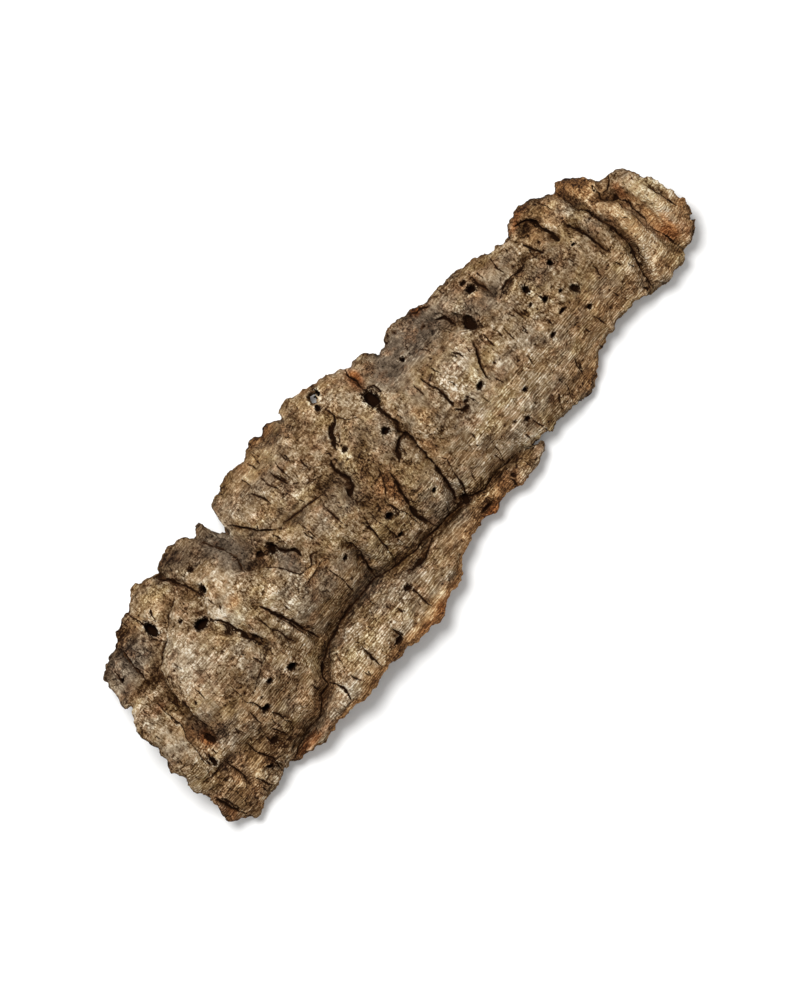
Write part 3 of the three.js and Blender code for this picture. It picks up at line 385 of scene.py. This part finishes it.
def crackField(points):  # how deep cracks and holes cut, how far off they are, how much they lift one side
    count = len(points)
    draw = np.random.default_rng(slab["seed"])
    x, y = planPlaces(points)
    x = x + lumps(points, "crackAlong")
    y = y + lumps(points, "crackAcross")
    shape, far = slab["crackShape"], 9.0
    widen = np.clip(1 + lumps(points, "crackWidth"), *shape["widths"])
    cut, lift, near = np.zeros((3, count))
    ratio, gap = np.full((2, count), far)
    for halfWidth, depth, rise, line in slab["cracks"] + smallSplits(draw):
        xs, ys = np.array(line).T
        inLength = (x > xs.min() - shape["margin"]) & (x < xs.max() + shape["margin"])
        box = np.flatnonzero(inLength & (y > ys.min() - shape["margin"]) & (y < ys.max() + shape["margin"]))
        if len(box) == 0:
            continue
        distance, side, along = nearestOnLine(x[box], y[box], line)
        taper = np.sqrt(np.clip(4 * along * (1 - along), 0, 1))
        reach = halfWidth * widen[box] * (1 - shape["thinEnds"] * (1 - taper))
        here = distance / reach
        depths = depth * (1 - shape["shallowEnds"] * (1 - taper)) * smoothStep(*shape["walls"], here)
        cut[box] = np.maximum(cut[box], depths)
        lift[box] += rise / 2 * side * taper * np.exp(-distance / shape["riseReach"])
        closer = here < ratio[box]
        ratio[box] = np.where(closer, here, ratio[box])
        gap[box] = np.where(closer, here * side, gap[box])
        near[box] = np.maximum(near[box], smoothStep(*shape["beside"], distance - reach))
    shape = slab["holeShape"]
    for px, py, halfLong, halfWide, depth in slab["holes"] + pinholes(draw):
        inLength = np.abs(x - px) < 3 * halfLong + shape["margin"]
        box = np.flatnonzero(inLength & (np.abs(y - py) < 3 * halfWide + shape["margin"]))
        here = np.hypot((x[box] - px) / halfLong, (y[box] - py) / halfWide)
        here /= 1 + shape["ragged"] * (widen[box] - 1)
        cut[box] = np.maximum(cut[box], depth * smoothStep(*shape["walls"], here))
        closer = here < ratio[box]
        # painted shade: deeper holes are painted blacker
        paler = max(shape["paleMost"] - depth / shape["shadeDepth"], 0)
        ratio[box] = np.where(closer, here, ratio[box])
        gap[box] = np.where(closer, here * shape["blackShare"] + paler, gap[box])
        near[box] = np.maximum(near[box], smoothStep(*shape["beside"], here))
    return {"cut": cut, "lift": lift, "near": near, "ratio": ratio, "gap": gap}


def foldHeight(points):  # rolls and valleys of the bark
    height = np.zeros(len(points))
    x, y = planPlaces(points)
    for halfWidth, rise, line in slab["folds"]:
        distance = nearestOnLine(x, y, line)[0]
        height += rise * np.exp(-(distance / halfWidth) ** 2)
    return height


def refinedCopy(node):  # the CAD solid, merged, cut finer and rounded; its vertices know rim and belly
    justOutside = 0.0003
    bm = bmesh.new()
    bm.from_mesh(node.data)
    bmesh.ops.remove_doubles(bm, verts=bm.verts, dist=slab["weld"])
    bm.normal_update()
    solid = BVHTree.FromBMesh(bm)
    rim = bm.verts.layers.float.new("rim")
    belly = bm.verts.layers.float.new("belly")
    for vert in bm.verts:
        facesDown = [face.normal.z < 0 for face in vert.link_faces]
        outside = vert.co + vert.normal * justOutside
        below = solid.ray_cast(outside, Vector((0, 0, -1)))[0]
        if any(facesDown) and below is None:  # not a wall of the fissure
            vert[rim] = 0.0 if all(facesDown) else 1.0
            vert[belly] = 1.0 if all(facesDown) else 0.5
    barkEdges = [edge for edge in bm.edges if min(vert[belly] for vert in edge.verts) < 0.9]
    bellyEdges = [edge for edge in bm.edges if min(vert[belly] for vert in edge.verts) >= 0.9]
    inner = bm.copy()
    inner.normal_update()
    notBelow = [face for face in inner.faces if face.normal.z > -0.1]
    bmesh.ops.delete(inner, geom=notBelow, context="FACES")
    innerFace = BVHTree.FromBMesh(inner)
    inner.free()
    bmesh.ops.subdivide_edges(bm, edges=bellyEdges, cuts=slab["bellyCuts"], use_grid_fill=True)
    bmesh.ops.subdivide_edges(bm, edges=barkEdges, cuts=slab["barkCuts"], use_grid_fill=True)
    bmesh.ops.triangulate(bm, faces=bm.faces[:])
    every = {"use_axis_x": True, "use_axis_y": True, "use_axis_z": True}
    for _ in range(slab["smoothing"]):
        bmesh.ops.smooth_vert(bm, verts=bm.verts, factor=0.5, **every)
    top = [vert for vert in bm.verts if vert[belly] < 0.3 and vert[rim] < 0.3]
    for _ in range(slab["evening"]):
        bmesh.ops.smooth_vert(bm, verts=top, factor=0.5, use_axis_z=True)
    points = np.array([vert.co for vert in top]) * mmPerMetre
    for vert, cut in zip(top, crackField(points)["cut"]):
        vert.select = cut > slab["deepCrack"]
    split = [edge for edge in bm.edges if edge.verts[0].select or edge.verts[1].select]
    bmesh.ops.subdivide_edges(bm, edges=split, cuts=slab["crackCuts"], use_grid_fill=True)
    bmesh.ops.triangulate(bm, faces=bm.faces[:])
    mesh = bpy.data.meshes.new("corkSlab")
    bm.to_mesh(mesh)
    bm.free()
    return mesh, innerFace


def readFloats(mesh, name):
    values = np.empty(len(mesh.vertices))
    mesh.attributes[name].data.foreach_get("value", values)
    return values


def writeFloats(mesh, name, values):
    layer = mesh.attributes.get(name) or mesh.attributes.new(name, "FLOAT", "POINT")
    layer.data.foreach_set("value", values.astype(np.float32))


def evened(values, links, rounds):  # each vertex takes the mean of its neighbours
    count = len(values)
    first, second = links.T
    shares = np.bincount(links.ravel(), minlength=count)
    for _ in range(rounds):
        total = np.bincount(first, values[second], count) + np.bincount(second, values[first], count)
        values = total / shares
    return values


def onFlap(points):  # 1 on the flap beyond the long fissure
    flap = slab["flap"]
    alongFlap = smoothStep(*flap["left"], points[:, 0]) * smoothStep(*flap["right"], points[:, 0])
    return alongFlap * smoothStep(*flap["near"], points[:, 1])


def chipRim(points, normals, rim, onTop):  # bits are broken off the rim, and the bark juts out over the rest
    onEdge = np.flatnonzero(rim > 0.8)
    plan = points * (1, 1, 0)
    tree = KDTree(len(onEdge))
    for place, index in enumerate(onEdge):
        tree.insert(plan[index], place)
    tree.balance()
    found = [tree.find(point) for point in plan]
    nearest = onEdge[[place for _, place, _ in found]]
    far = np.array([distance for _, _, distance in found])
    chips = slab["chips"]
    amount = chips["coarse"] * stepped(lumps(points, "coarseChips"))
    amount += chips["fine"] * stepped(lumps(points, "fineChips"))
    outward = normals[:, :2] / np.maximum(np.hypot(normals[:, 0], normals[:, 1]), 0.3)[:, None]
    move = amount[nearest] * smoothStep(chips["reach"], chips["full"], far)
    lip = chips["lip"] * onTop * (1 - chips["lipOffFlap"] * onFlap(points))
    move += lip * smoothStep(chips["reach"], chips["lipFull"], far)
    fromHole = np.hypot(*(points[:, :2] - chips["hole"]).T)
    points[:, :2] += outward[nearest] * (move * smoothStep(*chips["clear"], fromHole))[:, None]
    return far


def carveBark(mesh, innerFace):
    count = len(mesh.vertices)
    flat = np.empty(count * 3)
    mesh.vertices.foreach_get("co", flat)
    points = flat.reshape(-1, 3) * mmPerMetre
    mesh.vertex_normals.foreach_get("vector", flat)
    normals = flat.reshape(-1, 3).copy()
    links = np.empty(len(mesh.edges) * 2, np.int32)
    mesh.edges.foreach_get("vertices", links)
    links = links.reshape(-1, 2)
    rim = readFloats(mesh, "rim")
    belly = readFloats(mesh, "belly")
    onTop = smoothStep(0.45, 0.15, belly)

    cracks = crackField(points)
    height = foldHeight(points) + cracks["lift"] + lumps(points, "bark")
    height += slab["plateStep"] * stepped(lumps(points, "plates"))
    pits = smoothStep(*slab["pitRange"], lumps(points, "pits"))
    cut = np.maximum(cracks["cut"], slab["pitDepth"] * pits)
    downward = -normals - np.array([0, 0, 1.5])  # cracks cut steeper than the bark leans
    downward /= np.linalg.norm(downward, axis=1)[:, None]
    justInside = 0.0004
    for index in np.flatnonzero((cut - height > 1.0) & (onTop > 0.2)):  # nothing goes right through
        inward = Vector(downward[index])
        start = Vector(points[index] / mmPerMetre) + inward * justInside
        wall = innerFace.ray_cast(start, inward)[3]
        if wall is not None:
            most = wall * mmPerMetre - slab["leastWall"] + height[index]
            cut[index] = min(cut[index], max(most, 0.0))

    onRim = smoothStep(0.15, 0.6, rim)
    inside = smoothStep(0.75, 0.95, belly)
    onBark = onTop * (1 - 0.6 * onRim)
    lift = onBark * height + onRim * lumps(points, "crumbs") + inside * lumps(points, "belly")
    points += normals * lift[:, None] + downward * (onBark * cut)[:, None]
    fromRim = chipRim(points, normals, rim, onTop)
    points[:, 2] = np.maximum(points[:, 2], 0.0)
    mesh.vertices.foreach_set("co", (points / mmPerMetre).ravel())

    for name in ("gap", "ratio"):
        writeFloats(mesh, name, cracks[name])
    writeFloats(mesh, "near", cracks["near"] * onTop)
    # painted light: paler beside the rim, where the sloping rim gets less light
    writeFloats(mesh, "edge", smoothStep(slab["rimLightWidth"], 0.0, fromRim) * onTop)
    # painted shade and highlight: these values darken hollows and lighten ridges in the colour
    for name, (rounds, most) in slab["paintedShadeReliefs"].items():  # how far a point stands out from the bark round it
        share = np.maximum(evened(onTop, links, rounds), 0.05)
        level = evened(points[:, 2] * onTop, links, rounds) / share
        writeFloats(mesh, name, np.clip((points[:, 2] - level) / most, -1, 1) * onTop)
    px, py = planPlaces(points)
    px = px + lumps(points, "patchAlong")
    py = py + lumps(points, "patchAcross")
    rimAmber, flapAmber = slab["rimAmber"]
    for name, patches in slab["patches"].items():
        broken = onRim * (rimAmber + flapAmber * onFlap(points)) if name == "amber" else 0.0
        writeFloats(mesh, name, (patchStrength(px, py, patches) + broken) * (1 - inside))
    steep = slab["steepShare"] * smoothStep(*slab["steepSlope"], np.abs(normals[:, 1]))
    layered = np.maximum(smoothStep(*slab["nearSlope"], points[:, 1]), steep)
    writeFloats(mesh, "layered", np.maximum(layered, patchStrength(px, py, slab["dome"])))
    mesh.update()
    print("bark carved:", count, "vertices")


def toLinear(hexColor):
    parts = [int(hexColor[k:k + 2], 16) / 255 for k in (1, 3, 5)]
    return [p / 12.92 if p <= 0.04045 else ((p + 0.055) / 1.055) ** 2.4 for p in parts] + [1.0]


def addNode(tree, kind, settings, links=None):  # gives the new node's outputs
    node = tree.nodes.new("ShaderNode" + kind)
    for name, value in settings.items():
        if isinstance(name, int) or name in node.inputs:
            node.inputs[name].default_value = value
        else:
            setattr(node, name, value)
    for name, socket in (links or {}).items():
        tree.links.new(socket, node.inputs[name])
    return node.outputs


# Virgin cork bark, dry and weathered: no shine, tan to cream fibres along the grain, painted black shade in
# the fissures, grey where the weather got at it, orange-brown where the cork is freshly broken; painted
# shade in hollows and painted light on ridges and beside the rim.
bark = {
    "patterns": {  # size along and across the grain in millimetres, detail
        "grain": (9.0, 0.75, 1.0),
        "cross": (0.8, 2.2, 2.0),
        "speck": (0.85, 1.15, 1.0),  # crumbs of cork are finer; drawn as coarse as it takes to show
        "dot": (1.3, 1.7, 1.0),
        "flake": (2.0, 3.8, 5.0),
        "ridge": (6.5, 1.7, 3.0),
        "cracklet": (5.0, 9.0, 4.0),
        "mottle": (8.0, 7.0, 5.0),
        "patch": (34.0, 22.0, 3.0),
        "hue": (24.0, 15.0, 4.0),
    },
    "patternRoughness": 0.6,
    "baseTone": 0.45,
    "toneWeights": {"mottle": 0.32, "patch": 0.2},
    # painted shade and light: the reliefs darken hollows and lighten ridges; rim and edge lighten the rim
    # and the band beside it, where the slope misses light; tone adds the listed patches
    "paintedLightAndToneWeights": {"fineRelief": 0.13, "midRelief": 0.1, "broadRelief": 0.06, "tone": 0.14, "rim": 0.06,
                      "edge": 0.13},
    "blocks": (5.0, 6.5),  # size of the little blocks between hairline cracks
    "blockBend": 1.2,
    "blockTone": 0.09,
    # below: range of a pattern, and the most that it lightens (or darkens, below 0)
    "fine": {"speck": (0.43, 0.57, 0.115), "flake": (0.485, 0.515, 0.055), "ridge": (0.46, 0.54, 0.085)},
    "lines": {"grain": (0.42, 0.58, 0.13), "cross": (0.42, 0.58, 0.08)},
    "hairline": {"From Min": 0.07, "From Max": 0.0, "To Max": -0.28},
    "hairlinePlaces": {"From Min": 0.45, "From Max": 0.6},
    "crowding": -0.18,  # dots and cracklets keep off the pale patches
    "dotCrowding": 0.25,
    "dots": {"From Min": 0.77, "From Max": 0.805, "To Max": -0.3},
    "cracklet": {"From Min": 0.018, "From Max": 0.006, "To Max": -0.3},
    "crackletPlaces": {"From Min": 0.5, "From Max": 0.56},
    "busy": {"From Min": 0.38, "From Max": 0.62, "To Min": 0.5, "To Max": 1.25},  # how lively the crumbs are
    "calm": {"grey": -0.3, "layered": -0.35},
    "leastBusy": 0.35,
    "peelPlaces": {"From Min": 0.2, "From Max": 1.4, "To Max": 0.14},
    "peel": {"From Min": 0.56, "From Max": 0.62},
    "layers": {"apart": 1.4, "slant": 0.5, "bend": 10.0},  # edges of the yearly layers on the slopes
    "layerPlaces": {"From Min": 0.4, "From Max": 0.55, "To Max": 0.14},
    "ramps": {
        "tan": [(0.0, "#1c0d03"), (0.15, "#38240f"), (0.38, "#604931"), (0.53, "#796449"),
                (0.75, "#a08c71"), (0.87, "#b3a28a"), (1.0, "#d4cab8")],
        "ochre": [(0.0, "#1c0d03"), (0.3, "#543d20"), (0.55, "#806640"), (0.8, "#af986a"),
                  (1.0, "#dccfa8")],
        "grey": [(0.0, "#1a120c"), (0.3, "#463a2e"), (0.55, "#6a5b4b"), (0.8, "#998b76"),
                 (1.0, "#cdc3b1")],
        "amber": [(0.0, "#1e1009"), (0.3, "#5a3d24"), (0.55, "#8a643f"), (0.75, "#b08c60"),
                  (1.0, "#dcc59c")],
        "rust": [(0.0, "#1e0e07"), (0.4, "#573219"), (0.65, "#8a5630"), (1.0, "#bd8a58")],
        "belly": [(0.1, "#3a2617"), (0.5, "#86633f"), (1.0, "#b8946a")],
    },
    "warmBlocks": {"From Min": 0.6, "From Max": 0.95, "To Max": 0.3},
    "drift": {"From Min": 0.48, "From Max": 0.62, "To Max": 0.6},  # between ochre and grey
    "stains": {"grey": (0.6, 1.5), "amber": (0.6, 1.5), "rust": (0.6, 1.5), "belly": (1.2, 1.5)},
    "stainMottle": 1.2,
    # painted shade: a brown halo round the cracks and holes
    "shadeHalo": "#361f0c",
    "haloFlakes": 5.0,
    "haloRange": {"From Min": 4.6, "From Max": 3.6, "To Max": 0.7},
    # painted shade: black inside the cracks and holes, where the shade is deepest
    "fissure": "#190b03",
    "fissureRagged": 0.8,
    "fissureRange": {"From Min": 0.95, "From Max": 0.65},
    "roughness": 0.93,
    "ior": 1.45,
    "specular": 0.06,
    "bump": 0.0006,
    "bumpWeights": {"grain": 0.8, "cross": 0.8, "flake": 1.2},
}


def makeBark():
    material = bpy.data.materials.new("virginCorkBark")
    material.use_nodes = True
    tree = material.node_tree
    tree.nodes.clear()
    place = addNode(tree, "TexCoord", {})["Object"]
    fields = {}
    for name, (along, across, detail) in bark["patterns"].items():
        scale = (mmPerMetre / along, mmPerMetre / across, mmPerMetre / across)
        mapping = addNode(tree, "Mapping", {"Scale": scale}, {"Vector": place})
        field = addNode(tree, "TexNoise",
                        {"Scale": 1.0, "Detail": detail, "Roughness": bark["patternRoughness"]},
                        {"Vector": mapping[0]})
        fields[name] = field[0]
    wander = field["Color"]
    marks = {}
    for name in ("gap", "ratio", "near", "fineRelief", "midRelief", "broadRelief", "layered", "belly", "rim",
                 "edge", "tone", "grey", "amber", "rust"):
        marks[name] = addNode(tree, "Attribute", {"attribute_name": name})["Fac"]

    # painted shade and highlight: hollows darker and ridges paler by how far they stand out from the bark
    # round them; the rim and the band beside it painted paler to make up for the light they miss
    tone = addNode(tree, "Value", {})[0]
    tone.default_value = bark["baseTone"] - sum(bark["toneWeights"].values()) / 2
    for source, weights in ((marks, bark["paintedLightAndToneWeights"]), (fields, bark["toneWeights"])):
        for name, weight in weights.items():
            tone = addNode(tree, "Math", {"operation": "MULTIPLY_ADD", 1: weight},
                           {0: source[name], 2: tone})[0]

    # little blocks of bark, each with its own shade
    along, across = bark["blocks"]
    scale = (mmPerMetre / along, mmPerMetre / across, mmPerMetre / across)
    mapping = addNode(tree, "Mapping", {"Scale": scale}, {"Vector": place})
    bent = addNode(tree, "VectorMath", {"operation": "MULTIPLY_ADD", 1: [bark["blockBend"]] * 3},
                   {0: wander, 2: mapping[0]})[0]
    edges = addNode(tree, "TexVoronoi", {"feature": "DISTANCE_TO_EDGE", "Scale": 1.0},
                    {"Vector": bent})["Distance"]
    cells = addNode(tree, "TexVoronoi", {"Scale": 1.0}, {"Vector": bent})["Color"]
    cells = addNode(tree, "SeparateColor", {}, {"Color": cells})

    # dark dots, thicker where the bark is dark
    crowded = addNode(tree, "Math", {"operation": "MULTIPLY_ADD", 1: bark["crowding"]},
                      {0: marks["tone"], 2: fields["mottle"]})[0]
    dots = addNode(tree, "Math", {"operation": "MULTIPLY_ADD", 1: bark["dotCrowding"]},
                   {0: crowded, 2: fields["dot"]})[0]
    dots = addNode(tree, "MapRange", bark["dots"], {"Value": dots})[0]
    tone = addNode(tree, "Math", {"operation": "ADD"}, {0: dots, 1: tone})[0]

    # crumbs and sharp-edged flakes: calm where the bark is grey or layered, busy elsewhere
    most = bark["blockTone"]
    fine = addNode(tree, "MapRange", {"To Min": -most, "To Max": most}, {"Value": cells[0]})[0]
    for name, (low, high, most) in bark["fine"].items():
        part = addNode(tree, "MapRange",
                       {"From Min": low, "From Max": high, "To Min": -most, "To Max": most},
                       {"Value": fields[name]})[0]
        fine = addNode(tree, "Math", {"operation": "ADD"}, {0: part, 1: fine})[0]
    busy = addNode(tree, "MapRange", bark["busy"], {"Value": fields["hue"]})[0]
    for name, share in bark["calm"].items():
        busy = addNode(tree, "Math", {"operation": "MULTIPLY_ADD", 1: share}, {0: marks[name], 2: busy})[0]
    busy = addNode(tree, "Math", {"operation": "MAXIMUM", 1: bark["leastBusy"]}, {0: busy})[0]
    tone = addNode(tree, "Math", {"operation": "MULTIPLY_ADD"}, {0: fine, 1: busy, 2: tone})[0]

    # marks that show in some places only: hairline cracks between blocks, cracklets, white flakes
    middle = addNode(tree, "Math", {"operation": "SUBTRACT", 1: 0.5}, {0: fields["cracklet"]})[0]
    middle = addNode(tree, "Math", {"operation": "ABSOLUTE"}, {0: middle})[0]
    for name, value, where in (("hairline", edges, fields["hue"]), ("cracklet", middle, crowded),
                               ("peel", fields["flake"], marks["tone"])):
        shown = addNode(tree, "MapRange", bark[name], {"Value": value})[0]
        some = addNode(tree, "MapRange", bark[name + "Places"], {"Value": where})[0]
        tone = addNode(tree, "Math", {"operation": "MULTIPLY_ADD"}, {0: shown, 1: some, 2: tone})[0]

    # the crown is fibrous across the grain; the slopes show the edges of the yearly layers along it
    crown = addNode(tree, "Math", {"operation": "SUBTRACT", 0: 1.0}, {1: marks["layered"]})[0]
    for name, where in (("grain", marks["layered"]), ("cross", crown)):
        low, high, most = bark["lines"][name]
        lines = addNode(tree, "MapRange",
                        {"From Min": low, "From Max": high, "To Min": -most, "To Max": most},
                        {"Value": fields[name]})[0]
        tone = addNode(tree, "Math", {"operation": "MULTIPLY_ADD"}, {0: lines, 1: where, 2: tone})[0]
    layers = bark["layers"]
    turn = 2 * math.pi * mmPerMetre / layers["apart"]
    sides = addNode(tree, "SeparateXYZ", {}, {"Vector": place})
    phase = addNode(tree, "Math", {"operation": "MULTIPLY", 1: turn}, {0: sides["Y"]})[0]
    for field, share in ((sides["Z"], layers["slant"] * turn), (fields["mottle"], layers["bend"])):
        phase = addNode(tree, "Math", {"operation": "MULTIPLY_ADD", 1: share}, {0: field, 2: phase})[0]
    rings = addNode(tree, "Math", {"operation": "SINE"}, {0: phase})[0]
    here = addNode(tree, "MapRange", bark["layerPlaces"], {"Value": fields["grain"]})[0]
    here = addNode(tree, "Math", {"operation": "MULTIPLY"}, {0: here, 1: marks["layered"]})[0]
    tone = addNode(tree, "Math", {"operation": "MULTIPLY_ADD"}, {0: rings, 1: here, 2: tone})[0]

    shades = {}
    for name, colors in bark["ramps"].items():
        ramp = addNode(tree, "ValToRGB", {}, {"Fac": tone})
        stops = ramp["Color"].node.color_ramp.elements
        while len(stops) < len(colors):
            stops.new(0.5)
        for stop, (position, color) in zip(stops, colors):
            stop.position = position
            stop.color = toLinear(color)
        shades[name] = ramp["Color"]

    warm = addNode(tree, "MapRange", bark["warmBlocks"], {"Value": cells[1]})[0]
    shade = addNode(tree, "Mix", {"data_type": "RGBA"}, {0: warm, 6: shades["tan"], 7: shades["amber"]})[2]
    # the bark wanders between yellow and grey
    drift = addNode(tree, "SeparateColor", {}, {"Color": wander})
    for channel, name in ((1, "ochre"), (2, "grey")):
        amount = addNode(tree, "MapRange", bark["drift"], {"Value": drift[channel]})[0]
        shade = addNode(tree, "Mix", {"data_type": "RGBA"}, {0: amount, 6: shade, 7: shades[name]})[2]
    for name, (low, high) in bark["stains"].items():
        broken = addNode(tree, "Math", {"operation": "MULTIPLY_ADD", 1: bark["stainMottle"]},
                         {0: fields["mottle"], 2: marks[name]})[0]
        amount = addNode(tree, "MapRange", {"From Min": low, "From Max": high}, {"Value": broken})[0]
        shade = addNode(tree, "Mix", {"data_type": "RGBA"}, {0: amount, 6: shade, 7: shades[name]})[2]

    # painted shade: a brown halo round the cracks and holes, and black inside them
    ragged = addNode(tree, "Math", {"operation": "MULTIPLY_ADD", 1: 2.0, 2: -1.0}, {0: fields["speck"]})[0]
    around = addNode(tree, "Math", {"operation": "ADD"}, {0: marks["ratio"], 1: ragged})[0]
    around = addNode(tree, "Math", {"operation": "MULTIPLY_ADD", 1: bark["haloFlakes"]},
                     {0: fields["flake"], 2: around})[0]
    shadeHalo = addNode(tree, "MapRange", bark["haloRange"], {"Value": around})[0]
    shade = addNode(tree, "Mix", {"data_type": "RGBA", 7: toLinear(bark["shadeHalo"])}, {0: shadeHalo, 6: shade})[2]
    across = addNode(tree, "Math", {"operation": "ABSOLUTE"}, {0: marks["gap"]})[0]
    across = addNode(tree, "Math", {"operation": "MULTIPLY_ADD", 1: bark["fissureRagged"]},
                     {0: ragged, 2: across})[0]
    core = addNode(tree, "MapRange", bark["fissureRange"], {"Value": across})[0]
    core = addNode(tree, "Math", {"operation": "MULTIPLY"}, {0: core, 1: marks["near"]})[0]
    shade = addNode(tree, "Mix", {"data_type": "RGBA", 7: toLinear(bark["fissure"])}, {0: core, 6: shade})[2]

    relief = fields["speck"]
    for name, weight in bark["bumpWeights"].items():
        relief = addNode(tree, "Math", {"operation": "MULTIPLY_ADD", 1: weight},
                         {0: fields[name], 2: relief})[0]
    bump = addNode(tree, "Bump", {"Distance": bark["bump"], "Strength": 1.0}, {"Height": relief})
    shader = addNode(tree, "BsdfPrincipled",
                     {"Roughness": bark["roughness"], "IOR": bark["ior"],
                      "Specular IOR Level": bark["specular"]},
                     {"Base Color": shade, "Normal": bump["Normal"]})
    addNode(tree, "OutputMaterial", {}, {"Surface": shader["BSDF"]})
    return material


scene = bpy.context.scene
slabMesh, innerFace = refinedCopy(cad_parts["cork_slab"])
print("slab refined:", len(slabMesh.polygons), "faces")
carveBark(slabMesh, innerFace)
slabMesh.materials.clear()
slabMesh.materials.append(makeBark())
slabMesh.polygons.foreach_set("use_smooth", np.ones(len(slabMesh.polygons), bool))
corkSlab = bpy.data.objects.new("cork_slab_bark", slabMesh)
scene.collection.objects.link(corkSlab)
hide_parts("cork_slab")
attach(corkSlab, "root")
print("slab dressed")

# A white studio floor: matt paper that takes a soft shadow and shows no shine.
stage = {
    "floorHalf": 2.5,
    "floorColor": "#eeeeed",
    "floorRoughness": 0.95,
    "floorSpecular": 0.1,
    "worldStrength": 0.6,
    "keyFrom": (0.06, 0.42, 1.22),
    "keySize": 0.6,
    "keyPower": 18.0,
}

bm = bmesh.new()
bmesh.ops.create_grid(bm, x_segments=1, y_segments=1, size=stage["floorHalf"])
floorMesh = bpy.data.meshes.new("studioFloor")
bm.to_mesh(floorMesh)
bm.free()
floor = bpy.data.objects.new("studio_floor", floorMesh)
scene.collection.objects.link(floor)
paper = bpy.data.materials.new("mattPaper")
paper.use_nodes = True
paperShader = paper.node_tree.nodes["Principled BSDF"]
paperShader.inputs["Base Color"].default_value = toLinear(stage["floorColor"])
paperShader.inputs["Roughness"].default_value = stage["floorRoughness"]
paperShader.inputs["Specular IOR Level"].default_value = stage["floorSpecular"]
floorMesh.materials.append(paper)

world = bpy.data.worlds.new("studio")
world.use_nodes = True
background = world.node_tree.nodes["Background"]
background.inputs["Color"].default_value = (1, 1, 1, 1)
background.inputs["Strength"].default_value = stage["worldStrength"]
scene.world = world

keyLight = bpy.data.lights.new("softKey", "AREA")
keyLight.shape = "DISK"
keyLight.size = stage["keySize"]
keyLight.energy = stage["keyPower"]
key = bpy.data.objects.new("soft_key", keyLight)
key.location = stage["keyFrom"]
key.rotation_euler = (-Vector(stage["keyFrom"])).to_track_quat("-Z", "Y").to_euler()
scene.collection.objects.link(key)
scene.view_settings.view_transform = "Standard"
print("stage lit")

view = {
    "elevation": 84.0,
    "roll": 50.0,  # the grain runs up to the right
    "aim": (0.0, 0.0, 0.020),
    "distance": 1.5,
    "lens": 103.85,
    "shift": (-0.0015, -0.0361),
    "farthest": 10.0,
}

tilt, roll = math.radians(view["elevation"]), math.radians(view["roll"])
back = Vector((0, -math.cos(tilt), math.sin(tilt)))
across = Vector((0, math.sin(tilt), math.cos(tilt)))
along = Vector((1, 0, 0))
right = along * math.cos(roll) - across * math.sin(roll)
up = along * math.sin(roll) + across * math.cos(roll)
turned = Matrix((right, up, back)).transposed().to_4x4()
camera = bpy.data.objects.new("camera", bpy.data.cameras.new("camera"))
camera.matrix_world = Matrix.Translation(Vector(view["aim"]) + back * view["distance"]) @ turned
camera.data.lens = view["lens"]
camera.data.shift_x, camera.data.shift_y = view["shift"]
camera.data.clip_end = view["farthest"]
scene.collection.objects.link(camera)
scene.camera = camera
print("camera set")
